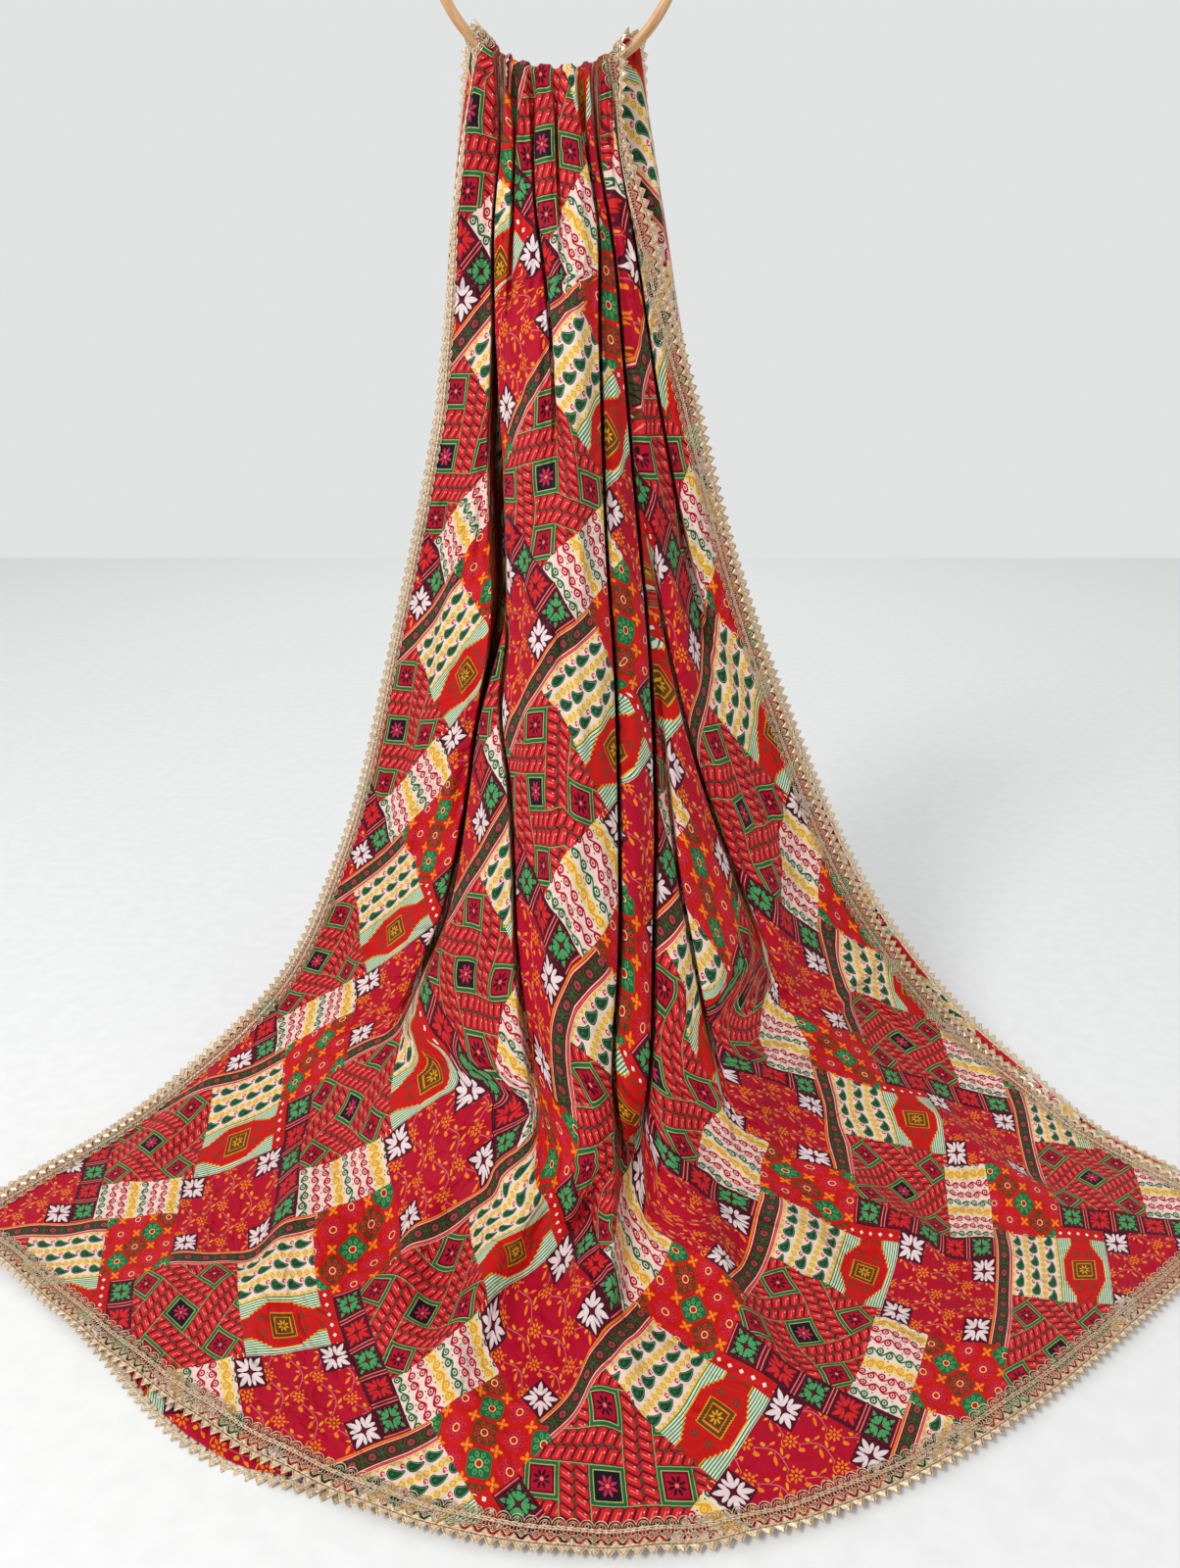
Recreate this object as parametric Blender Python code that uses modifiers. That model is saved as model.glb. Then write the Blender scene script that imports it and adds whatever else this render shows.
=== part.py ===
"""A chinon dupatta: one long printed cloth doubled through a plain round ring.

Metres, +Z up. The origin is the top of the ring, where it hangs, so the floor
that the hem lies on is at -FLOOR_DROP. The front half of the cloth faces -Y and
the back half lies close behind and under it.
"""

import math

import bpy
import numpy as np

# Driving sizes
CLOTH_WIDTH = 1.12
HALF_LENGTH = 1.125
CLOTH_THICK = 0.0012
RING_OUTER_DIAMETER = 0.193
TUBE_DIAMETER = 0.008
RING_GAP = 0.0007
RING_CENTRE_HEIGHT = 0.917
LACE_THICK = 0.001
LACE_GAP = 0.0007
LACE_ON_CLOTH = 0.014
TOOTH_PITCH = 0.0164
TOOTH_HEIGHT = 0.008
CORNER_GAP = 0.0010
PLAIN_TIP = 0.5
PLEAT_RELIEF = 0.004

# Sizes that follow from them
TUBE_RADIUS = TUBE_DIAMETER / 2
RING_RADIUS = RING_OUTER_DIAMETER / 2 - TUBE_RADIUS
FLOOR_DROP = RING_CENTRE_HEIGHT + RING_OUTER_DIAMETER / 2
SEAT_RADIUS = TUBE_RADIUS + RING_GAP + CLOTH_THICK / 2
CREST_RADIUS = SEAT_RADIUS + PLEAT_RELIEF
LACE_LIFT = CLOTH_THICK / 2 + LACE_GAP + LACE_THICK / 2

# The drape from the ring to the hem, a row for each section across the front half.
# down: cloth length below the ring. left, right: the front half's two edges.
# edge_y, edge_z and mid_y, mid_z: place of the edges and of the middle.
# bulge: power of the arch between them. off: how far the back half lies behind.
# out_left, out_right: how far the back half's edges stand out past the front's.
SECTION_COLUMNS = ("down", "left", "right", "edge_y", "edge_z", "mid_y", "mid_z",
                   "bulge", "off", "out_left", "out_right")
SECTIONS = (
    (0.010, -0.0605, 0.0605, -0.012, 0.847, -0.012, 0.8245, 0.8, 0.006, 0.000, 0.000),
    (0.060, -0.062, 0.064, -0.014, 0.790, -0.024, 0.779, 1.2, 0.006, 0.008, 0.006),
    (0.120, -0.068, 0.076, -0.016, 0.728, -0.045, 0.722, 1.5, 0.006, 0.013, 0.010),
    (0.200, -0.083, 0.094, -0.018, 0.647, -0.076, 0.647, 1.7, 0.006, 0.010, 0.010),
    (0.300, -0.105, 0.119, -0.024, 0.549, -0.112, 0.553, 1.8, 0.006, 0.004, 0.008),
    (0.400, -0.129, 0.148, -0.032, 0.451, -0.147, 0.460, 1.8, 0.006, 0.004, 0.009),
    (0.500, -0.153, 0.182, -0.042, 0.357, -0.182, 0.366, 1.8, 0.006, 0.004, 0.012),
    (0.600, -0.179, 0.221, -0.054, 0.261, -0.217, 0.273, 1.8, 0.006, 0.005, 0.015),
    (0.700, -0.214, 0.267, -0.068, 0.170, -0.252, 0.181, 1.7, 0.007, 0.006, 0.017),
    (0.780, -0.251, 0.316, -0.080, 0.101, -0.280, 0.108, 1.6, 0.007, 0.008, 0.018),
    (0.850, -0.300, 0.366, -0.093, 0.048, -0.306, 0.050, 1.4, 0.0065, 0.008, 0.018),
    (0.910, -0.341, 0.411, -0.118, 0.018, -0.345, 0.016, 1.2, 0.0042, 0.008, 0.018),
    (0.970, -0.375, 0.442, -0.166, 0.0064, -0.402, 0.0066, 1.1, 0.0032, 0.008, 0.017),
    (1.040, -0.413, 0.483, -0.222, 0.0062, -0.464, 0.0062, 1.1, 0.0032, 0.008, 0.016),
    (1.145, -0.467, 0.537, -0.303, 0.0062, -0.557, 0.0062, 1.1, 0.0032, 0.008, 0.015),
)

# The creases of the front half, a row for each. across: the crease's place from the
# left edge (0) to the right edge (1) at each of the levels. deep: its depth there.
# open: half the width of its mouth.
CREASE_LEVELS = (0.010, 0.12, 0.25, 0.42, 0.60, 0.78, 0.86)
CREASES = {
    "left_gap": {"across": (0.180, 0.205, 0.250, 0.310, 0.260, 0.212, 0.205),
                 "deep": (0.004, 0.012, 0.040, 0.066, 0.058, 0.008, 0.0),
                 "open": 0.0045},
    "left_second": {"across": (0.275, 0.310, 0.355, 0.390, 0.372, 0.410, 0.450),
                    "deep": (0.004, 0.011, 0.012, 0.012, 0.036, 0.014, 0.0),
                    "open": 0.0040},
    "middle": {"across": (0.370, 0.415, 0.460, 0.480, 0.465, 0.462, 0.480),
               "deep": (0.004, 0.012, 0.016, 0.006, 0.0, 0.0, 0.0),
               "open": 0.0040},
    "main_right": {"across": (0.620, 0.655, 0.627, 0.603, 0.558, 0.512, 0.510),
                   "deep": (0.004, 0.014, 0.040, 0.062, 0.060, 0.050, 0.0),
                   "open": 0.0040},
    "second_right": {"across": (0.730, 0.755, 0.722, 0.690, 0.618, 0.560, 0.548),
                     "deep": (0.004, 0.010, 0.030, 0.048, 0.050, 0.036, 0.0),
                     "open": 0.0035},
    "third_right": {"across": (0.790, 0.820, 0.790, 0.740, 0.670, 0.655, 0.660),
                    "deep": (0.0, 0.0, 0.0, 0.004, 0.022, 0.026, 0.0),
                    "open": 0.0040},
    "outer_right": {"across": (0.850, 0.870, 0.845, 0.790, 0.752, 0.765, 0.775),
                    "deep": (0.002, 0.003, 0.006, 0.012, 0.026, 0.006, 0.0),
                    "open": 0.0040},
}
CREASE_FLOOR = 0.0018
NEST_SPREAD = 0.0027
NEST_DEPTH = 0.008
SKIRT_SHARE = 0.12
SKIRT_WIDTH = 0.020
BLEND_POWER = 4

# Soft ridges where the cloth meets the floor and fans out over it, a row for each:
# start and end as (across, down), then height and half width.
RIDGES = (
    ((0.08, 0.88), (0.06, 1.06), 0.006, 0.020),
    ((0.20, 0.84), (0.25, 1.08), 0.010, 0.022),
    ((0.31, 0.82), (0.33, 1.02), 0.008, 0.018),
    ((0.41, 0.84), (0.36, 0.97), 0.013, 0.016),
    ((0.47, 0.90), (0.42, 1.04), 0.010, 0.016),
    ((0.53, 0.86), (0.50, 1.05), 0.013, 0.013),
    ((0.58, 0.84), (0.61, 1.04), 0.012, 0.016),
    ((0.66, 0.82), (0.68, 0.98), 0.013, 0.018),
    ((0.74, 0.86), (0.80, 1.03), 0.010, 0.018),
    ((0.85, 0.84), (0.90, 1.04), 0.008, 0.020),
)
RIDGE_END, RIDGE_FADE = 1.08, 0.12
LEAN_START, LEAN_END = 0.84, 0.95

# Where the back half's hem shows below the front one, and by how much it stays short
PEEK_AT, PEEK_WIDTH, PEEK_OUT, HEM_SHORT = -0.215, 0.080, 0.022, 0.006
NEST_START, NEST_END = 0.03, 0.16

# Rows of the grid, as cloth length below the ring, and rows over the tube
HALF_ROWS = (0.010, 0.035, 0.065, 0.10, 0.15, 0.20, 0.26, 0.33, 0.40, 0.47, 0.54, 0.61,
             0.68, 0.74, 0.79, 0.83, 0.865, 0.90, 0.935, 0.97, 1.01, 1.08,
             HALF_LENGTH - LACE_ON_CLOTH, HALF_LENGTH)
TUBE_STEPS = 6
EDGE_PANEL_COLUMNS = 4
COLUMN_GAP = 0.0012
CREASE_COLUMNS = 4


def spline(knots, values):
    """A natural cubic spline through the values, as a function."""
    knots = np.asarray(knots, float)
    values = np.asarray(values, float)
    step = np.diff(knots)
    slope = np.diff(values) / step
    count = len(knots)
    matrix = np.eye(count)
    right = np.zeros(count)
    for i in range(1, count - 1):
        matrix[i, i - 1:i + 2] = step[i - 1], 2 * (step[i - 1] + step[i]), step[i]
        right[i] = 6 * (slope[i] - slope[i - 1])
    bend = np.linalg.solve(matrix, right)

    def value(at):
        at = np.clip(at, knots[0], knots[-1])
        i = np.clip(np.searchsorted(knots, at) - 1, 0, count - 2)
        a = (knots[i + 1] - at) / step[i]
        b = (at - knots[i]) / step[i]
        curve = (a**3 - a) * bend[i] + (b**3 - b) * bend[i + 1]
        return a * values[i] + b * values[i + 1] + curve * step[i]**2 / 6

    return value


def smooth(t):
    """0 below 0, 1 above 1, and an even rise between."""
    t = np.clip(t, 0.0, 1.0)
    return t * t * (3 - 2 * t)


SECTION = {name: spline([row[0] for row in SECTIONS], [row[i] for row in SECTIONS])
           for i, name in enumerate(SECTION_COLUMNS)}
ACROSS = {name: spline(CREASE_LEVELS, crease["across"]) for name, crease in CREASES.items()}


def crease_depth(name, down):
    return np.interp(down, CREASE_LEVELS, CREASES[name]["deep"])


def crease_shape(crease, deep, spread):
    """Half widths of a crease's mouth and of its floor, wider where a layer nests in it."""
    wider = spread * smooth(deep / NEST_DEPTH)
    return crease["open"] + wider, CREASE_FLOOR + wider


def crease_x(name, down):
    left, right = SECTION["left"](down), SECTION["right"](down)
    return left + (right - left) * ACROSS[name](down)


def valley(x, down, spread=0.0, deep_at=None):
    """Depth of the creases at x. deep_at takes their depths from another row."""
    walls = np.zeros(np.broadcast(x, down).shape)
    skirts = np.zeros_like(walls)
    for name, crease in CREASES.items():
        deep = crease_depth(name, down if deep_at is None else deep_at)
        away = np.abs(x - crease_x(name, down))
        mouth, foot = crease_shape(crease, deep, spread)
        wall = 1 - smooth((away - foot) / (mouth - foot))
        walls = walls + (deep * wall) ** BLEND_POWER
        skirts = skirts + SKIRT_SHARE * deep * np.exp(-(away / SKIRT_WIDTH) ** 2) * (1 - wall)
    return walls ** (1 / BLEND_POWER) + skirts


def ridge(x, down):
    """Height of the soft ridges on the floor at x."""
    left, right = SECTION["left"](down), SECTION["right"](down)
    width = right - left
    across = (x - left) / width
    height = np.zeros(np.broadcast(x, down).shape)
    for (a0, d0), (a1, d1), high, half in RIDGES:
        t = (down - d0) / (d1 - d0)
        away = (across - (a0 + (a1 - a0) * np.clip(t, 0, 1))) * width
        ends = smooth((t + 0.25) / 0.4) * smooth((RIDGE_END - down) / RIDGE_FADE)
        height = height + high * ends * np.exp(-(away / half) ** 2)
    return height


def front(x, down):
    """Middle surface of the front half."""
    left, right = SECTION["left"](down), SECTION["right"](down)
    arch = np.sin(math.pi * np.clip((x - left) / (right - left), 0, 1))
    arch = np.maximum(arch, 0) ** SECTION["bulge"](down)
    y = SECTION["edge_y"](down) + (SECTION["mid_y"](down) - SECTION["edge_y"](down)) * arch
    z = SECTION["edge_z"](down) + (SECTION["mid_z"](down) - SECTION["edge_z"](down)) * arch
    return shifted(x, y, z, down, valley(x, down) - ridge(x, down))


def shifted(x, y, z, down, inward):
    """Moves a point behind the hanging cloth, or down where it lies on the floor."""
    lean = math.pi / 2 * smooth((down - LEAN_START) / (LEAN_END - LEAN_START))
    return np.stack([x + 0 * y, y + np.cos(lean) * inward, z - np.sin(lean) * inward], axis=-1)


def back(x, down):
    """Middle surface of the back half, nested behind the front one below the ring."""
    left, right = SECTION["left"](down), SECTION["right"](down)
    arch = np.sin(math.pi * np.clip((x - left) / (right - left), 0, 1))
    arch = np.maximum(arch, 0) ** SECTION["bulge"](down)
    y = SECTION["edge_y"](down) + (SECTION["mid_y"](down) - SECTION["edge_y"](down)) * arch
    z = SECTION["edge_z"](down) + (SECTION["mid_z"](down) - SECTION["edge_z"](down)) * arch
    inward = valley(x, down, NEST_SPREAD) - ridge(x, down) + SECTION["off"](down)
    nested = shifted(x, y, z, down, inward)
    pleats = valley(x, down, deep_at=HALF_ROWS[0])
    behind_ring = CREST_RADIUS - np.minimum(pleats, PLEAT_RELIEF)
    nest = smooth((down - NEST_START) / (NEST_END - NEST_START))
    nested[..., 1] = behind_ring * (1 - nest) + nested[..., 1] * nest
    peek = PEEK_OUT * np.exp(-((x - PEEK_AT) / PEEK_WIDTH) ** 2) - HEM_SHORT
    nested[..., 1] -= peek * smooth((down - LEAN_END) / (HALF_LENGTH - LEAN_END))
    return nested


def over_ring(x, angle):
    """Middle surface where the cloth bends over the ring's tube, angle -90 to 90 degrees."""
    top = HALF_ROWS[0]
    swing = math.asin(x / RING_RADIUS)
    reach = CREST_RADIUS - min(float(valley(x, top)), PLEAT_RELIEF)
    along = reach * math.sin(angle)
    lift = reach * math.cos(angle)
    tube_z = RING_CENTRE_HEIGHT - RING_RADIUS * math.cos(swing)
    return (x - lift * math.sin(swing), along, tube_z + lift * math.cos(swing))


def in_order(places, low, high):
    """Keeps a row's columns in order and a little apart between its two edges."""
    places = np.array([low, *places, high])
    for i in range(1, len(places)):
        places[i] = max(places[i], places[i - 1] + COLUMN_GAP)
    places[-1] = high
    for i in range(len(places) - 2, 0, -1):
        places[i] = min(places[i], places[i + 1] - COLUMN_GAP)
    return places


def columns(down, spread=0.0, out_left=0.0, out_right=0.0):
    """The x of each grid column in one row: four at each crease, and the panels between."""
    left, right = SECTION["left"], SECTION["right"]
    low, high = float(left(down)), float(right(down))
    marks = []
    for name, crease in CREASES.items():
        x = float(crease_x(name, down))
        mouth, foot = crease_shape(crease, float(crease_depth(name, down)), spread)
        marks.append((x - mouth, x - foot, x + foot, x + mouth))
    low_lace = low + LACE_ON_CLOTH * slant(left, down)
    high_lace = high - LACE_ON_CLOTH * slant(right, down)
    places = list(np.linspace(low_lace, marks[0][0], EDGE_PANEL_COLUMNS + 2)[:-1])
    for i, mark in enumerate(marks):
        places.extend(mark)
        if i + 1 < len(marks):
            places.append((mark[-1] + marks[i + 1][0]) / 2)
    places.extend(np.linspace(marks[-1][-1], high_lace, EDGE_PANEL_COLUMNS + 2)[1:])
    places[0] -= out_left
    places[-1] += out_right
    return in_order(places, low - out_left, high + out_right)


def slant(edge, down):
    """How much wider a strip along an edge is across the row than square to the edge."""
    step = 0.01
    low, high = max(down - step, HALF_ROWS[0]), min(down + step, HALF_LENGTH)
    return math.hypot(1.0, float(edge(high) - edge(low)) / (high - low))


def cloth_rows():
    """Every row of the cloth's grid, from the front hem up over the ring to the back hem."""
    rows = []
    for down in reversed(HALF_ROWS):
        x = columns(down)
        rows.append(front(x, np.full(x.shape, down)))
    top_x = columns(HALF_ROWS[0])
    for step in range(1, TUBE_STEPS):
        angle = math.pi * (step / TUBE_STEPS - 0.5)
        rows.append(np.array([over_ring(float(x), angle) for x in top_x]))
    for down in HALF_ROWS:
        spread = NEST_SPREAD * float(smooth((down - HALF_ROWS[0]) / NEST_END))
        x = columns(down, spread, float(SECTION["out_left"](down)),
                    float(SECTION["out_right"](down)))
        rows.append(back(x, np.full(x.shape, down)))
    return np.array(rows)


def plain_material(name, colour, roughness, metallic=0.0):
    material = bpy.data.materials.new(name)
    material.use_nodes = True
    shader = material.node_tree.nodes["Principled BSDF"]
    shader.inputs["Base Color"].default_value = (*colour, 1.0)
    shader.inputs["Roughness"].default_value = roughness
    shader.inputs["Metallic"].default_value = metallic
    return material


def add_object(name, mesh, collection, material):
    mesh.materials.clear()
    mesh.materials.append(material)
    piece = bpy.data.objects.new(name, mesh)
    piece.location = (0.0, 0.0, -FLOOR_DROP)
    collection.objects.link(piece)
    return piece


def cloth_cuts(grid):
    """How each cell of the cloth is cut: as the creases fan out, alike in its two halves."""
    rows, across = grid.shape[:2]
    front_half = np.arange(rows - 1)[:, None] < rows // 2
    left_half = np.arange(across - 1)[None, :] < across // 2
    return (front_half == left_half).astype(int)


def grid_mesh(name, grid, cuts):
    """An open sheet through a grid of points. cuts says which way each cell is halved."""
    rows, across = grid.shape[:2]
    faces = []
    for i in range(rows - 1):
        for j in range(across - 1):
            k = i * across + j
            corners = (k, k + 1, k + across + 1, k + across)
            turn = cuts[i, j]
            a, b, c, d = corners[turn:] + corners[:turn]
            faces.extend(((a, b, c), (a, c, d)))
    mesh = bpy.data.meshes.new(name)
    mesh.from_pydata(grid.reshape(-1, 3).tolist(), [], faces)
    mesh.shade_smooth()
    return mesh


def add_sheet(name, grid, cuts, thickness, collection, material):
    """A thin cloth solid: an open sheet with its thickness shared by its two sides."""
    piece = add_object(name, grid_mesh(name, grid, cuts), collection, material)
    solidify = piece.modifiers.new("thickness", "SOLIDIFY")
    solidify.thickness = thickness
    solidify.offset = 0.0
    return piece


def make_ring(collection, material):
    bpy.ops.mesh.primitive_torus_add(
        major_radius=RING_RADIUS, minor_radius=TUBE_RADIUS, major_segments=40,
        minor_segments=8, location=(0, 0, RING_CENTRE_HEIGHT - FLOOR_DROP),
        rotation=(math.pi / 2, 0, 0))
    ring = bpy.context.object
    ring.name = "ring"
    ring.data.name = "ring"
    ring.data.shade_smooth()
    ring.data.materials.append(material)
    for owner in list(ring.users_collection):
        owner.objects.unlink(ring)
    collection.objects.link(ring)
    return ring


def outward(grid):
    """The direction square to the cloth at each grid point, away from the ring's tube."""
    along = np.gradient(grid, axis=0)
    across = np.gradient(grid, axis=1)
    normal = np.cross(across, along)
    return normal / np.linalg.norm(normal, axis=-1, keepdims=True)


def lace_strip(inner, edge, inner_out, edge_out, toothed):
    """A strip from its line on the cloth to its saw-toothed line past the cloth's edge.

    toothed is how many of its stretches have teeth. The rest has a straight edge.
    """
    inner = inner + inner_out * LACE_LIFT
    edge = edge + edge_out * LACE_LIFT
    stations = []
    for i in range(len(edge) - 1):
        if i < toothed:
            length = float(np.linalg.norm(edge[i + 1] - edge[i]))
            teeth = max(1, round(length / TOOTH_PITCH))
            steps = 2 * teeth
            stations.extend((i, step / steps, step % 2) for step in range(steps))
        else:
            stations.append((i, 0.0, PLAIN_TIP))
    stations.append((len(edge) - 2, 1.0, 0.0 if toothed == len(edge) - 1 else PLAIN_TIP))
    inner_line = []
    outer_line = []
    for i, t, tip in stations:
        a = inner[i] * (1 - t) + inner[i + 1] * t
        b = edge[i] * (1 - t) + edge[i + 1] * t
        past = (b - a) / np.linalg.norm(b - a)
        inner_line.append(a)
        outer_line.append(b + past * TOOTH_HEIGHT * tip)
    cuts = [[0 if i < toothed else 1 for i, t, tip in stations[:-1]]]
    return np.array([inner_line, outer_line]), np.array(cuts)


def side_lace(grid, normals, edge, inner):
    """A lace down one side, from the front hem over the ring to the back hem."""
    return lace_strip(grid[:, inner], grid[:, edge], normals[:, inner], normals[:, edge],
                      len(HALF_ROWS) - 1)


def hem_lace(grid, normals, edge, inner):
    """A lace along one hem, between the two side laces."""
    keep = [1]
    panel = CREASE_COLUMNS + 1
    first_crease = EDGE_PANEL_COLUMNS + 2
    for i in range(len(CREASES)):
        keep.append(first_crease + i * panel)
    keep.append(grid.shape[1] - 2)
    rows = [grid[inner][keep], grid[edge][keep], normals[inner][keep], normals[edge][keep]]
    for row in rows[:2]:
        for end, beside in ((0, 1), (-1, -2)):
            inward = row[beside] - row[end]
            row[end] = row[end] + inward / np.linalg.norm(inward) * CORNER_GAP
    return lace_strip(*rows, len(keep) - 1)


def clear_scene():
    for thing in list(bpy.data.objects):
        bpy.data.objects.remove(thing, do_unlink=True)


def main():
    clear_scene()
    dupatta = bpy.data.collections.new("chinon_dupatta")
    bpy.context.scene.collection.children.link(dupatta)
    print_red = plain_material("printed_chinon", (0.55, 0.06, 0.05), 0.7)
    gold = plain_material("gold_lace", (0.62, 0.45, 0.26), 0.4, 0.6)
    wood = plain_material("ring_wood", (0.50, 0.29, 0.13), 0.6)

    make_ring(dupatta, wood)
    cloth = cloth_rows()
    normals = outward(cloth)
    add_sheet("cloth", cloth, cloth_cuts(cloth), CLOTH_THICK, dupatta, print_red)
    laces = {
        "lace_front_hem": hem_lace(cloth, normals, 0, 1),
        "lace_back_hem": hem_lace(cloth, normals, -1, -2),
        "lace_left": side_lace(cloth, normals, 0, 1),
        "lace_right": side_lace(cloth, normals, -1, -2),
    }
    for name, (grid, cuts) in laces.items():
        add_sheet(name, grid, cuts, LACE_THICK, dupatta, gold)


main()
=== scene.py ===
"""Looks of a chinon dupatta doubled through a ring: cloth, print, lace, ring and studio.

The drape is worked out here in floor coordinates: metres, +Z up, the floor at z = 0.
Every mesh is then lowered so that the top of the ring is the origin, as in the frame.
"""

import math

import bpy
import numpy as np
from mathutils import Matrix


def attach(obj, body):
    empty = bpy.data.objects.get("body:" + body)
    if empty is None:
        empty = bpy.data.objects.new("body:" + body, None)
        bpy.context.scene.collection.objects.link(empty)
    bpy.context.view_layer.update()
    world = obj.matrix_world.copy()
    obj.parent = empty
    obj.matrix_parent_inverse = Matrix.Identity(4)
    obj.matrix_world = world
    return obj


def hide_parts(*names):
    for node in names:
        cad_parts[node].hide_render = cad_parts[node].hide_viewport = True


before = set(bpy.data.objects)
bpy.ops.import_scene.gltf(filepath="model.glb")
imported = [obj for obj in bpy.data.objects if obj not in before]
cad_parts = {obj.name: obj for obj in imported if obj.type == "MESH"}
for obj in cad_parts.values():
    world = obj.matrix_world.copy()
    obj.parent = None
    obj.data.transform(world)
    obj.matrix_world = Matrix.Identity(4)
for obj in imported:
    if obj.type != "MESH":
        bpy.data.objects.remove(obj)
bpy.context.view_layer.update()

# Driving sizes, in metres
CLOTH_WIDTH = 1.12
HALF_LENGTH = 1.125
RING_OUTER_DIAMETER = 0.193
TUBE_DIAMETER = 0.008
RING_CENTRE_HEIGHT = 0.917
SEAT_GAP = 0.0008
PLEAT_RELIEF = 0.0045
LACE_PITCH = 0.0082
LACE_ON_CLOTH = 0.014
TOOTH_HEIGHT = 0.008

TUBE_RADIUS = TUBE_DIAMETER / 2
RING_RADIUS = RING_OUTER_DIAMETER / 2 - TUBE_RADIUS
FLOOR_DROP = RING_CENTRE_HEIGHT + RING_OUTER_DIAMETER / 2
CREST_RADIUS = TUBE_RADIUS + SEAT_GAP + PLEAT_RELIEF
LACE_WIDTH = LACE_ON_CLOTH + TOOTH_HEIGHT

# The tables of the drape and of the print's place hold thousandths: millimetres, or
# thousandths of the whole. All other lengths are in metres.

# The drape from the ring to the hem, a row for each section across the front half.
# down: cloth length below the ring. left, right: the front half's two edges.
# edge_y, edge_z and mid_y, mid_z: place of the edges and of the middle.
# bulge: power of the arch between them. off: how far the back half lies behind.
# out_left, out_right: how far the back half's edges stand out past the front's.
SECTION_COLUMNS = ("down", "left", "right", "edge_y", "edge_z", "mid_y", "mid_z",
                   "bulge", "off", "out_left", "out_right")
SECTIONS = (
    (10, -60.5, 60.5, -12, 847, -12, 824.5, 800, 6, 4, 2),
    (60, -62, 64, -14, 790, -24, 779, 1200, 6, 14, 10),
    (120, -68, 76, -16, 728, -45, 722, 1500, 6, 18, 9),
    (200, -83, 94, -18, 647, -76, 647, 1700, 6, 10, 6),
    (300, -105, 119, -24, 549, -112, 553, 1800, 6, -10, 4),
    (400, -129, 148, -32, 451, -147, 460, 1800, 6, -12, 2),
    (500, -153, 182, -42, 357, -182, 366, 1800, 6, -12, 4),
    (600, -179, 221, -54, 261, -217, 273, 1800, 6, -12, 7),
    (700, -214, 267, -68, 170, -252, 181, 1700, 6, -10, 10),
    (780, -251, 316, -80, 101, -280, 108, 1600, 6, -6, 13),
    (850, -300, 366, -93, 48, -306, 50, 1400, 5, 2, 15),
    (910, -341, 411, -118, 18, -345, 16, 1200, 4, 7, 17),
    (970, -375, 442, -166, 6.2, -402, 6.4, 1100, 3.4, 8, 17),
    (1040, -413, 483, -222, 5.6, -464, 5.6, 1100, 3, 8, 16),
    (1145, -467, 537, -303, 4.6, -557, 4.6, 1100, 2.4, 8, 15),
)
TOP = SECTIONS[0][0] / 1000

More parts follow.
